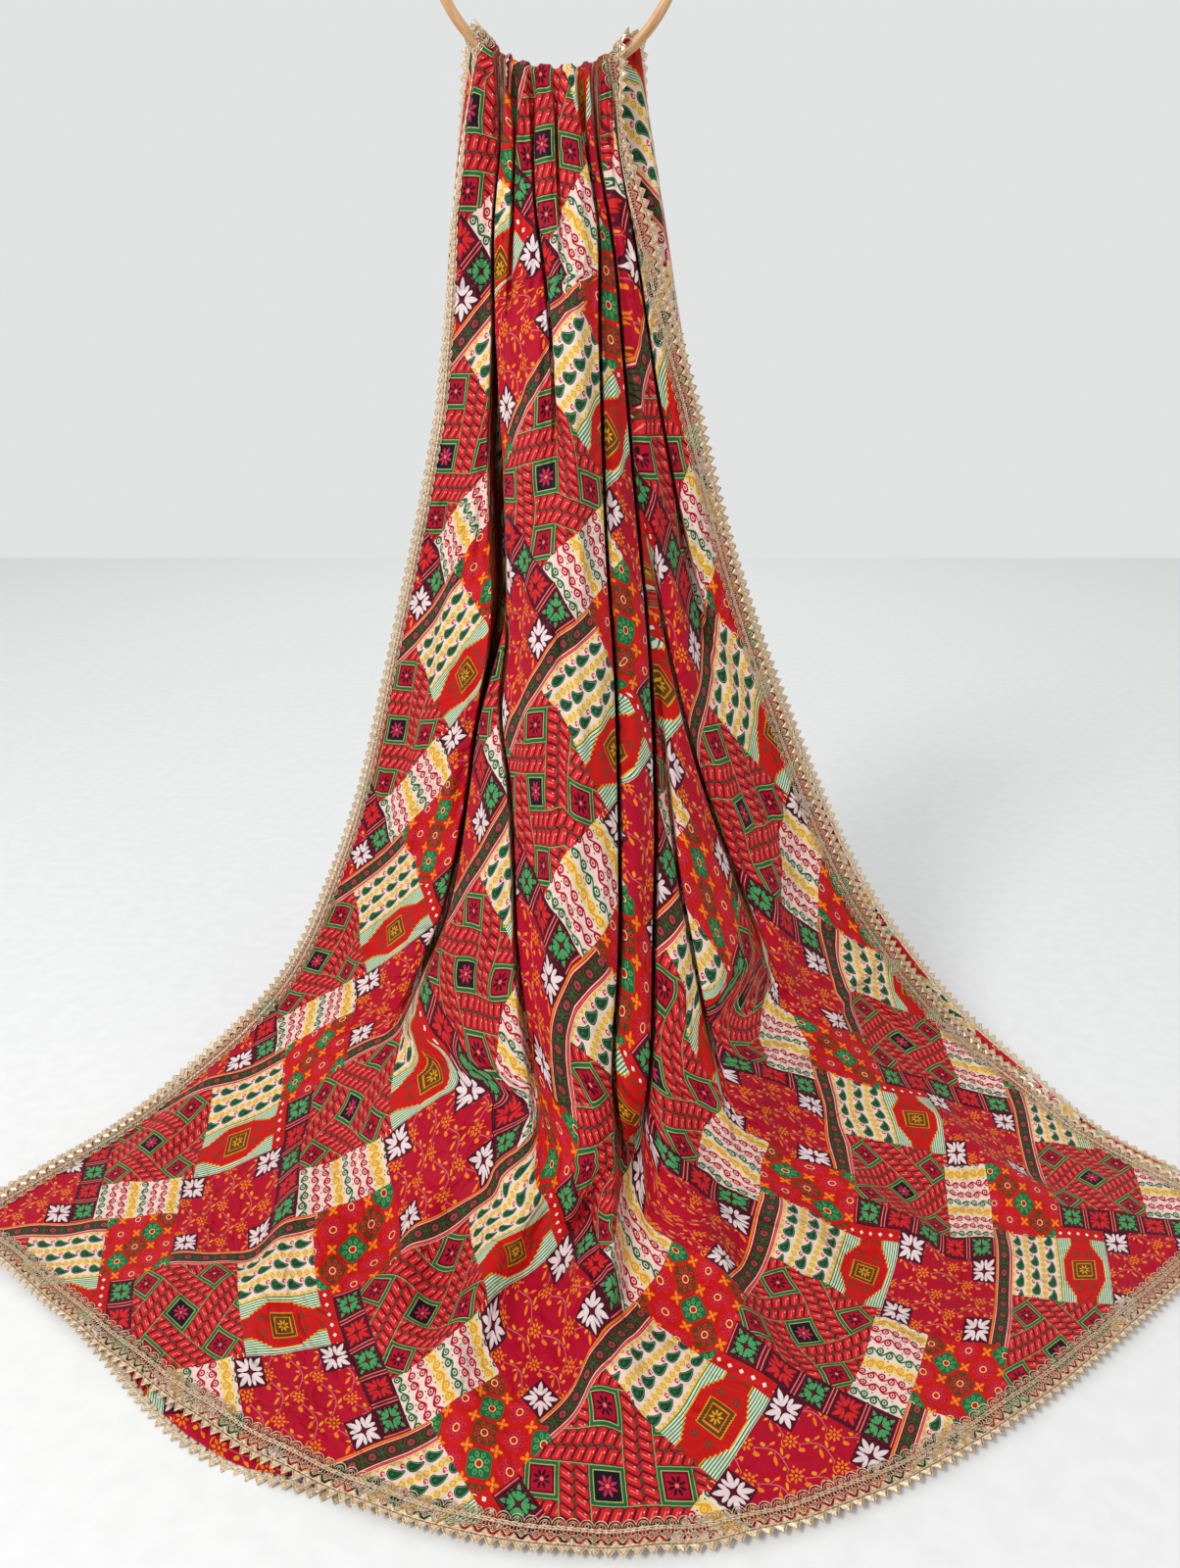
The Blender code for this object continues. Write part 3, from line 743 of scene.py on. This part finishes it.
def leaf_tile(x, y, side, outside, ground, petal):
    """A square tile with a three-lobed petal toward each corner."""
    paint = Paint(outside)
    a, b = abs(x), abs(y)
    paint.nest(larger(a, b),
               (side / 2, "dark"), (side / 2 - 0.7, "maroon"), (side / 2 - 1.7, ground))
    aside, away = slanted(a, b)
    aside = abs(aside)
    share = (away - 0.36 * side) / (0.25 * side)
    tongue = aside < (1 - share * share) * (0.085 * side)
    reach = away - 0.27 * side
    off = aside - 0.16 * side
    turned_far = reach * 0.80 + off * 0.60
    turned_side = (off * 0.80 - reach * 0.60) * 2.2
    lobe = radius(turned_far, turned_side) < 0.135 * side
    cup = radius(away - 0.19 * side, aside * 0.75) < 0.09 * side
    paint[tongue | lobe | cup] = petal
    paint[(a + b) < 0.12 * side] = "maroon"
    return paint


def sprig_block(q, p):
    """Thin stems, leaves and small flowers on crimson, with a pale-leaved tile in each corner."""
    paint = Paint("crimson")
    wave, row = 36, 18
    moved = q + (p / row).floor() * 13
    high = p.repeat(row) - row / 2
    off = high - moved.sine(wave) * 3.8
    climb = abs(off)
    paint[climb < 0.40] = "stem"
    twig = moved.near(12) - sign(off) * 2.9
    paint[(abs(twig - climb * climb * 0.13) < 0.32) & (climb < 4)] = "stem"
    for at, height, turn, size, name in ((2.8, 4.8, 0.60, 2.6, "orange"),
                                         (-2.8, 2.8, -0.66, 2.1, "amber")):
        lean = math.sqrt(1 - turn * turn)
        leaf_x = (twig - at) * lean + (climb - height) * turn
        leaf_y = (climb - height) * lean - (twig - at) * turn
        paint[radius(leaf_x, leaf_y * 2.1) < size] = name
    x, y = moved.near(wave, 0.75 * wave), high + 3.4
    flower = radius(x, y)
    paint[flower < 5.4] = "crimson"
    paint[petals(x, y, 8, 1.7, 5, 0.85)] = "orange"
    paint[flower < 0.9] = "amber"
    x, y = abs(q - 42) - 31.2, abs(p - 43.5) - 32.7
    paint[box(x, y, 21.5, 21.5)] = leaf_tile(x, y, 21.5, "dark", "dark", "petal")
    return paint


def stripe_band(q, p):
    """Lines of red, orange and white beside a dark field of ovals. q is 0 to 16."""
    paint = Paint("red")
    for low, high, name in ((0.3, 1.3, "orange"), (1.9, 2.4, "blush"), (3, 12.4, "dark"),
                            (3.5, 11.9, "olive"), (12.8, 13.4, "blush"), (14.2, 14.6, "pink"),
                            (15.3, 15.9, "blush")):
        paint[q.within(low, high)] = name
    away = q - 7.7
    cross = p.near(15, 7.5)
    paint[(abs(abs(cross) - abs(away) * 0.9) < 0.4) & q.within(3.5, 11.9)] = "dark"
    paint[radius(cross, away) < 1.1] = "green"
    oval = radius(p.near(15), away * 1.2)
    paint.nest(oval, (4.1, "dark"), (3.5, "olive"))
    paint[oval.within(1.2, 2.3)] = "rose"
    return paint


def paisley_rows(q, p):
    """Green drops in rows with chains of amber squares between. q is 0 to 44."""
    paint = Paint("blush")
    row_step = 14.6
    chain = q.near(row_step)
    diamond = abs(p.near(6)) + abs(chain)
    paint[abs(chain) < 2.6] = "cream"
    paint[diamond.within(1.4, 2.6) | (diamond < 0.7)] = "amber"
    row = q.near(row_step, row_step / 2)
    along = (p + (q / row_step).floor() * 5).near(14.8)
    curl = abs(radius(along - 6, row + 2.6) - 1.5)
    paint[(curl < 0.5) & (row < -1.4)] = "rose"
    paint[radius(along - 5.4, row + 2.4) < 0.6] = "rose"
    # A drop is a round head drawn out to its tip
    from_head, from_side = along + 3, row + 0.6
    reach = larger((from_head * 8.2 + from_side * 2.4) / 73, 0)
    reach = smaller(reach, 1)
    bend = reach * reach * 3.6
    drop = radius(from_head - reach * 8.2, from_side + bend - reach * 4.6) + reach * 2.9
    paint.nest(drop, (3.9, "dark"), (3.3, "leaf"), (2.8, "deep_green"))
    paint[radius(from_head, from_side * 1.3) < 1.3] = "green"
    return paint


def ikat_block(q, p):
    """A stepped red band between hatched ones, with a brown medallion, and a red strip."""
    paint = Paint("mint")
    paint[q.repeat(1.9) < 0.75] = "green"
    from_q, from_p = q - 21, p - 33
    away, along = abs(from_q), abs(from_p)
    stairs = larger(((29 - along) / 3.4).floor(), 0)
    past = away - (smaller(stairs, 5) * 1.7 + 8.5)
    paint.nest(past, (0.9, "amber"), (0, "red"))
    paint[petals(p.near(16.5), away - 5.5, 6, 0.8, 3.6, 0.7) & (past < -1)] = "olive"
    body = larger(along, away) - abs(from_p.near(2)) * 0.7
    paint.nest(body, (9.6, "amber"), (8.8, "brown"))
    paint[body.within(5.6, 6.3)] = "orange"
    paint[petals(from_p, from_q, 8, 1, 5, 0.7)] = "amber"
    strip = Paint("red")
    strip[abs(q.near(8, 4)) + abs(p - 71.5) < 1.7] = "white"
    strip[p < 66.5] = paint
    return strip


def tile_band(q, p):
    """Five tiles of green and coral between dark edges. q is 0 to 122, p 0 to 22."""
    step, side = 24.4, 19
    x, y = q.near(step, step / 2), p - 11
    paint = leaf_tile(x, y, side, "maroon", "dark", "leaf")
    green = (q / step).floor().repeat(2) < 0.5
    paint[green & radius(x, y).within(7.2, 8)] = "dark"
    paint[~green] = leaf_tile(x, y, side, "maroon", "maroon", "coral")
    bars = abs(q.near(step))
    paint[bars < 2.6] = "maroon"
    paint[bars.within(0.9, 1.6)] = "pink"
    paint[abs(y) > 10.2] = "dark"
    return paint


def rope_weave(q, p):
    """Squares between double ropes that pass over each other. The black one is at (42, 40)."""
    y, x = slanted(p - 40, q - 42)
    pitch = 41.25
    paint = Paint("green")
    column, row = (x / pitch).floor(), (y / pitch).floor()
    upright = (column + row).repeat(2) < 0.5
    from_x, from_y = x.near(pitch), y.near(pitch)
    beside, above = abs(from_x), abs(from_y)
    paint[(beside < 8.6) & (above < 8.6)] = "moss"
    # For each direction: its rim, its strands, and t, the place across a strand
    parts = []
    for at, on_top, away, aside in ((x, upright, beside, above), (y, ~upright, above, beside)):
        across = at.near(pitch, pitch / 2)
        parts.append(((abs(away - 10.8) < 0.22) & (on_top | (aside < 11)),
                      (away > 11) & (on_top | (aside < 10.3)),
                      across - sign(across) * 4.8))
    (rim_up, rises, t_up), (rim_flat, lies, t_flat) = parts
    paint[rim_up | rim_flat] = "moss"
    t = t_flat + rises * (t_up - t_flat)
    # s is the place along a strand
    s = x + rises * (y - x)
    slant = t * 0.075 * (1 - rises * 2)
    bow = (s / 6.9 - slant).repeat(1) - 0.5
    hump = 4.6 - bow * bow * 6
    strand = rises | lies
    paint[strand & (abs(t) < hump + 0.6)] = "maroon"
    paint[strand & (abs(t) < hump - 0.3) & (abs(bow) < 0.38)] = "coral"
    paint[strand & (abs(t + 0.4) < 2.4) & bow.within(-0.04, 0.07)] = "pink"
    paint[strand & (abs(t - 1.5) < 0.5) & bow.within(0.20, 0.28)] = "blush"
    # Squares with a small star
    square = (beside < 8) & (above < 8)
    black = square & (abs(x) < 12) & (abs(y) < 12)
    star = petals(from_x, from_y, 8, 1.3, 6.3, 0.95)
    paint[square] = "crimson"
    paint[square & ((beside > 6.6) | (above > 6.6))] = "maroon"
    paint[square & star] = "dark"
    paint[black] = "night"
    paint[black & star] = "rose"
    paint[square & (radius(from_x, from_y) < 1.2)] = "pink"
    return paint


def scroll_rows(q, p):
    """Rows of curling scrolls along q on a pale ground."""
    paint = Paint("blush")
    row_step, wave_length = 9.4, 15
    index = (p / row_step).floor().repeat(4)
    amber = index > 2.5
    paint[amber] = "cream"
    x, y = q + index * 4, p.repeat(row_step) - row_step / 2
    wave = x.sine(wave_length)
    bend = x.near(wave_length / 2, wave_length / 4)
    curl = radius(bend + 1, y + sign(wave) * 0.9)
    line = (abs(y - wave * 2.3) < 0.75) | (abs(curl - 2.1) < 0.65) | (curl < 0.85)
    paint[radius(x.near(wave_length), abs(y) - 4.2) < 0.55] = "olive"
    paint[line] = "crimson"
    paint[line & (index < 0.5)] = "green"
    paint[line & amber] = "amber"
    return paint


def dotted_flowers(x, y):
    """Squares with dotted flowers on red, orange petals at their corners."""
    paint = Paint("red")
    wide, high = COLUMN_STEP / 8, ROW_STEP / 10
    from_x, from_y = x.near(wide), y.near(high)
    kind = ((x / wide + 0.5).floor() + (y / high + 0.5).floor() * 2).repeat(4)
    inside = larger(abs(from_x), abs(from_y)) < 8.3
    is_green = inside & (kind < 0.5)
    is_olive = inside & kind.within(1.5, 2.5)
    paint[is_green] = "green"
    paint[is_olive] = "brown"
    ring = petals(from_x, from_y, 8, 3.2, 8, 1.4) & inside
    paint[ring] = "rose"
    paint[ring & is_green] = "leaf"
    paint[ring & is_olive] = "coral"
    paint[petals(from_x, from_y, 8, 4.6, 6.8, 0.45)] = "maroon"
    paint.nest(radius(from_x, from_y), (2.7, "cream"), (2, "red"))
    corner_x, corner_y = x.near(wide, wide / 2), y.near(high, high / 2)
    corner = radius(corner_x, corner_y)
    paint[corner < 4.6] = "red"
    turned_y, turned_x = slanted(corner_y, corner_x)
    paint[petals(turned_x, turned_y, 4, 0.6, 4.6, 1.2)] = "orange"
    paint[corner < 0.9] = "amber"
    return paint


# The blocks over the flowers, as (q from, q to, p from, p to, what is drawn there). q and p
# are turned by 45 degrees from x and y, and a block is drawn from its own lowest q and p.
BLOCKS = (
    (42, 82.5, -40, 38.5, scroll_rows),
    (-42, 2.2, 48, 114.5, paisley_rows),
    (2, 45.2, 48, 125, ikat_block),
    (129, 145, 38, 161, stripe_band),
    (45, 129, 38, 125, sprig_block),
    (7, 129, 125, 147, tile_band),
    (-42, 42, -40, 48, rope_weave),
)


def in_block(x, y, q_low, q_high, p_low, p_high):
    """The place q, p in the nearest repeat of a block, and where that block is."""
    wide, high = q_high - q_low, p_high - p_low
    middle_y, middle_x = slanted((p_low + p_high) / 2, (q_low + q_high) / 2)
    from_x = x - middle_x
    column = (from_x / COLUMN_STEP + 0.5).floor()
    from_y = (y - middle_y - column * (ROW_STEP / 2)).near(ROW_STEP)
    q, p = slanted(from_x - column * COLUMN_STEP, from_y)
    return q + wide / 2, p + high / 2, box(q, p, wide, high)


def new_material(name):
    """A material, and its shader. Terms and paint then work in its node tree."""
    material = bpy.data.materials.new(name)
    material.use_nodes = True
    Term.tree = material.node_tree
    return material, material.node_tree.nodes["Principled BSDF"]


def noise(spot, scale, detail, distortion=0):
    inputs = {"Vector": spot, "Scale": scale, "Detail": detail, "Distortion": distortion}
    return Term(new_node("TexNoise", inputs).outputs["Fac"])


def bumped(height, strength, distance):
    inputs = {"Height": height, "Strength": strength, "Distance": distance}
    return new_node("Bump", inputs).outputs["Normal"]


def printed_chinon():
    """Printed crepe: a patchwork of blocks, drawn over the cloth's flat place."""
    material, shader = new_material("printed_chinon")
    across, along = (Term(new_node("Attribute", attribute_name=name).outputs["Fac"])
                     for name in ("across", "along"))
    x = across * 1000 - BLACK_SQUARE_AT[0]
    y = along * (1000 * LENGTH_SHARE) - BLACK_SQUARE_AT[1]
    paint = dotted_flowers(x, y)
    for *sides, drawn in BLOCKS:
        q, p, inside = in_block(x, y, *sides)
        paint[inside] = drawn(q, p)
    spot = new_node("CombineXYZ", {0: x, 1: y}).outputs[0]
    grain = noise(spot, scale=1.4, detail=2)
    crumple = noise(spot, scale=0.035, detail=2, distortion=1.2)
    thread_shade = (0.40, 0.37, 0.37, 1)
    feed(shader, {"Base Color": mixed(grain * 0.5, paint.colour, thread_shade, "MULTIPLY"),
                  "Normal": bumped(grain * 0.03 + crumple, strength=0.7, distance=0.012),
                  "Roughness": 0.52, "Specular IOR Level": 0.10,
                  "Sheen Weight": 0.02, "Sheen Roughness": 0.4})
    return material


def as_is(x, y, z):
    return x, y, z


def around_ring(x, y, z):
    """Grain runs around the ring. The turn starts at its lowest point, under the cloth."""
    up = z + RING_OUTER_DIAMETER / 2
    turn = turn_of(x, up)
    return turn * (RING_RADIUS * 0.12), radius(x, up), y


def grained(name, dark, light, scale, rough, depth, metallic=0, place=as_is):
    """A material with grain in its colour, roughness and bump. place gives the grain's x, y, z."""
    material, shader = new_material(name)
    at = new_node("SeparateXYZ", {0: new_node("TexCoord").outputs["Object"]})
    parts = place(*[Term(part) for part in at.outputs])
    spot = new_node("CombineXYZ", dict(enumerate(parts))).outputs[0]
    grain = noise(spot, scale, 3)
    ramp = new_node("ValToRGB", {"Fac": grain})
    for stop, position, shade in zip(ramp.color_ramp.elements, (0.35, 0.65), (dark, light)):
        stop.position = position
        stop.color = linear(shade)
    feed(shader, {"Base Color": ramp.outputs["Color"], "Metallic": metallic,
                  "Roughness": grain * 0.3 + (rough - 0.15),
                  "Normal": bumped(grain, 0.5, depth)})
    return material


# One repeat of the lace, in millimetres. a runs along the strip and b across it, from the
# inner edge at 0 to the tips of the teeth. h is the height above the cloth.
MILLIMETRE = 0.001
REPEAT = LACE_PITCH / MILLIMETRE
TOOTH_TIP = LACE_WIDTH / MILLIMETRE - 0.4
THREAD = 0.36
THREAD_SIDES = 3


class Pattern:
    """Points (a, b, h) and faces of one repeat, and which of the faces are flat foil."""

    def __init__(self):
        self.points = []
        self.faces = []
        self.foil = []

    def add(self, points, faces, foil):
        first = len(self.points)
        self.points.extend(points)
        self.faces.extend(tuple(first + i for i in face) for face in faces)
        self.foil.extend([foil] * len(faces))

    def thread(self, route, thickness=1, closed=False):
        """A thread along points (a, b, h)."""
        route = np.array(route, float)
        if closed:
            ahead = np.roll(route, -1, axis=0) - np.roll(route, 1, axis=0)
        else:
            ahead = np.gradient(route, axis=0)
        ahead /= np.linalg.norm(ahead, axis=1)[:, None]
        side = np.cross(ahead, (0, 0, 1))
        side /= np.linalg.norm(side, axis=1)[:, None]
        up = np.cross(side, ahead)
        turns = [math.tau * (k / THREAD_SIDES + 0.25) for k in range(THREAD_SIDES)]
        points = np.stack([route + thickness * THREAD * (math.cos(t) * side + math.sin(t) * up)
                           for t in turns], axis=1)
        count = len(route)
        faces = []
        for i in range(count if closed else count - 1):
            here, after = i * THREAD_SIDES, (i + 1) % count * THREAD_SIDES
            for k in range(THREAD_SIDES):
                m = (k + 1) % THREAD_SIDES
                faces.append((here + k, here + m, after + m, after + k))
        self.add(points.reshape(-1, 3).tolist(), faces, False)

    def ring(self, a, b, h, radius, steps=8, squash=1):
        turns = [math.tau * i / steps for i in range(steps)]
        self.thread([(a + radius * math.cos(t), b + squash * radius * math.sin(t), h)
                     for t in turns], closed=True)

    def twist(self, b, h, swing, lift, steps, phase=0):
        """Two threads that twist around each other along the strip."""
        turns = [(REPEAT * i / steps, math.tau * (i / steps + phase)) for i in range(steps + 1)]
        for side in (-1, 1):
            self.thread([(a, b + side * swing * math.sin(t), h + side * lift * math.cos(t))
                         for a, t in turns], 1.2)

    def tooth(self, corners, height):
        """A raised foil triangle on three corners (a, b)."""
        middle = np.mean(corners, axis=0)
        inner = [middle + 0.42 * (np.array(corner) - middle) for corner in corners]
        points = [(a, b, 0.2) for a, b in corners] + [(a, b, height) for a, b in inner]
        faces = [(i, (i + 1) % 3, 3 + (i + 1) % 3, 3 + i) for i in range(3)]
        self.add(points, faces + [(3, 4, 5), (2, 1, 0)], True)


def lace_pattern():
    """Scallops, twisted cords, rings and a zigzag, then a foil triangle and a foil tooth."""
    half = REPEAT / 2
    unit = Pattern()
    unit.thread([(half - half * math.cos(t), 4.4 - 4 * math.sin(t), 0.5)
                 for t in np.linspace(0, math.pi, 9)], 1.25)
    unit.thread([(half - 0.72 * half * math.cos(t), 5.2 - 3.1 * math.sin(t), 0.4)
                 for t in np.linspace(0.15, math.pi - 0.15, 7)])
    unit.ring(half, 4.3, 0.7, 1.15)
    unit.twist(6.1, 0.6, 0.42, 0.3, 6)
    unit.twist(7.4, 0.6, 0.42, 0.3, 6, phase=0.5)
    unit.ring(0.5 * half, 9, 0.5, 1.25, squash=1.15)
    unit.ring(1.5 * half, 9, 0.5, 1.25, squash=1.15)
    unit.ring(0, 11.3, 0.7, 1.7, squash=1.2)
    unit.ring(0, 11.3, 0.7, 0.8, steps=6)
    unit.thread([(0, 13.6, 0.5), (0.3 * half, 12, 0.5), (half, 10.4, 0.5),
                 (1.7 * half, 12, 0.5), (REPEAT, 13.6, 0.5)])
    unit.tooth([(0.2 * half, 15.4), (1.8 * half, 15.4), (half, 11.2)], 1.2)
    unit.twist(15.6, 0.7, 0.3, 0.25, 4)
    unit.tooth([(0.92 * half, 16.2), (-0.92 * half, 16.2), (0, TOOTH_TIP)], 1.5)
    unit.thread([(-half, 16.4, 0.5), (-0.5 * half, 19.1, 0.8), (0, TOOTH_TIP, 0.6),
                 (0.5 * half, 19.1, 0.8), (half, 16.4, 0.5)], 1.5)
    return unit


LACE_RAISE = 0.0004
RIB_STEP = 0.001
RIB_STEPS = 30
RIB_COLUMNS = 60
INWARD_STEP = 12


def evened(values, passes):
    """Runs of vectors smoothed along their order and made unit length again."""
    for _ in range(passes):
        padded = np.concatenate([values[:1], values, values[-1:]])
        values = (padded[:-2] + 2 * padded[1:-1] + padded[2:]) / 4
    return values / np.linalg.norm(values, axis=1)[:, None]


def between(grid, row, column):
    """Points of a grid at places between its rows and columns."""
    low = np.clip(row.astype(int), 0, grid.shape[0] - 2)
    left = np.clip(column.astype(int), 0, grid.shape[1] - 2)
    share, part = (row - low)[:, None], (column - left)[:, None]
    near = grid[low, left] * (1 - part) + grid[low, left + 1] * part
    far = grid[low + 1, left] * (1 - part) + grid[low + 1, left + 1] * part
    return near * (1 - share) + far * share


def make_lace(node, material, grid, gap, side):
    """Lace sewn along the first column of a grid of cloth points.

    gap is the length that stays free at each end, and side is -1 or 1, the side it lies on.
    """
    reach = RIB_STEP * np.arange(RIB_STEPS)
    ribs = np.array([vectors_at(reach, total_of(run_of(row)), row)
                     for row in grid[:, :RIB_COLUMNS]])
    edge = ribs[:, 0]
    length = total_of(run_of(edge))
    ahead = evened(np.gradient(edge, length, axis=0), 3)
    inward = evened(ribs[:, INWARD_STEP] - edge, 3)
    lean = np.einsum("ij,ij->i", ahead, inward)
    square = evened(inward - lean[:, None] * ahead, 2)
    normal = evened(np.cross(ahead, square) * side, 2)

    unit = lace_pattern()
    shape = np.array(unit.points) * MILLIMETRE
    total = length[-1] - 2 * gap
    count = round(total / LACE_PITCH)
    a = (gap + total / count * (np.arange(count)[:, None] + shape[:, 0] / LACE_PITCH)).ravel()
    b, h = np.tile(shape[:, 1], count), np.tile(shape[:, 2], count) + LACE_RAISE
    # On the cloth a point follows its rib, and past the edge it goes straight out
    slope = np.interp(a, length, lean)
    inside = np.maximum(LACE_ON_CLOTH - b, 0) / np.sqrt(1 - slope**2)
    along = a - inside * slope
    points = between(ribs, np.interp(along, length, np.arange(len(length))), inside / RIB_STEP)
    over = along - np.clip(along, 0, length[-1])
    points += over[:, None] * vectors_at(along, length, ahead)
    points -= np.maximum(b - LACE_ON_CLOTH, 0)[:, None] * vectors_at(a, length, square)
    points += h[:, None] * vectors_at(a, length, normal)

    size = len(shape)
    faces = [tuple(n * size + i for i in face) for n in range(count) for face in unit.faces]
    piece = new_piece(node + "_thread", points, faces)
    piece.data.polygons.foreach_set("use_smooth", np.tile(~np.array(unit.foil), count))
    dress(piece, node, material)
    return piece


def make_laces(grid):
    """Side laces from hem to hem, and hem laces between them."""
    material = grained("gold_lace", (184, 154, 118), (242, 222, 192),
                       scale=900, rough=0.35, depth=0.0001, metallic=0.45)
    out = -TOOTH_HEIGHT
    inset = LACE_ON_CLOTH + 0.001
    columns = grid.transpose(1, 0, 2)
    front_rows = columns[:, :FRONT_ROWS]
    back_rows = columns[:, ::-1][:, :BACK_ROWS]
    return [
        make_lace("lace_left", material, grid, out, -1),
        make_lace("lace_right", material, grid[:, ::-1], out, 1),
        make_lace("lace_front_hem", material, front_rows, inset, 1),
        make_lace("lace_back_hem", material, back_rows, inset, -1),
    ]


def make_ring():
    bpy.ops.mesh.primitive_torus_add(
        major_segments=160, minor_segments=24, major_radius=RING_RADIUS,
        minor_radius=TUBE_RADIUS, location=(0, 0, -RING_OUTER_DIAMETER / 2),
        rotation=(math.pi / 2, 0, 0))
    piece = bpy.context.object
    piece.name = "wooden_ring"
    piece.data.shade_smooth()
    bpy.ops.object.transform_apply(location=True, rotation=True, scale=True)
    wood = grained("ring_wood", (176, 128, 82), (206, 162, 116),
                   scale=420, rough=0.45, depth=0.0003, place=around_ring)
    dress(piece, "ring", wood)
    return piece


# Camera as in the photograph: 1204 by 1600, long side up
LENS = 26
SENSOR = 36
CAMERA_AT = (0.025, -0.984, 0.617 - FLOOR_DROP)
CAMERA_PITCH = 20.1

# Lights, as (name, place, aim, size, power)
MIDDLE = (0, -0.2, -0.6)
LIGHTS = (
    ("key", (-1.3, -1.6, 1.1), MIDDLE, 0.7, 42),
    ("fill", (1.8, -1.2, 0.5), MIDDLE, 1.8, 3),
    ("far", (0, 2.4, 1.2), (0, 2.2, -1), 2.5, 13),
)
FLOOR_SIZE = 6


def make_camera():
    camera = bpy.data.cameras.new("camera")
    camera.sensor_fit = "VERTICAL"
    camera.sensor_height = SENSOR
    camera.lens = LENS
    bpy.context.scene.camera = add_object(
        "camera", camera, CAMERA_AT, (math.radians(90 - CAMERA_PITCH), 0, 0))


def area_light(name, place, aim, size, power):
    light = bpy.data.lights.new(name, "AREA")
    light.shape = "DISK"
    light.size = size
    light.energy = power
    x, y, z = np.subtract(aim, place)
    add_object(name, light, place, (math.atan2(math.hypot(x, y), -z), 0, math.atan2(-x, y)))


def make_studio():
    world = bpy.data.worlds.new("studio")
    bpy.context.scene.world = world
    world.use_nodes = True
    sky = world.node_tree.nodes["Background"]
    sky.inputs["Color"].default_value = (0.755, 0.770, 0.770, 1)
    sky.inputs["Strength"].default_value = 1
    bpy.context.scene.view_settings.view_transform = "Standard"
    for light in LIGHTS:
        area_light(*light)
    bpy.ops.mesh.primitive_plane_add(size=FLOOR_SIZE, location=(0, 0, -FLOOR_DROP))
    floor = bpy.context.object
    floor.name = "floor"
    floor.data.materials.append(grained("pale_floor", (222, 222, 222), (226, 226, 226),
                                        scale=60, rough=0.8, depth=0.0001))


make_camera()
cloth_points, print_x, print_y = cloth_grid()
cloth = make_cloth(cloth_points, print_x, print_y)
laces = make_laces(cloth_points)
ring = make_ring()
make_studio()
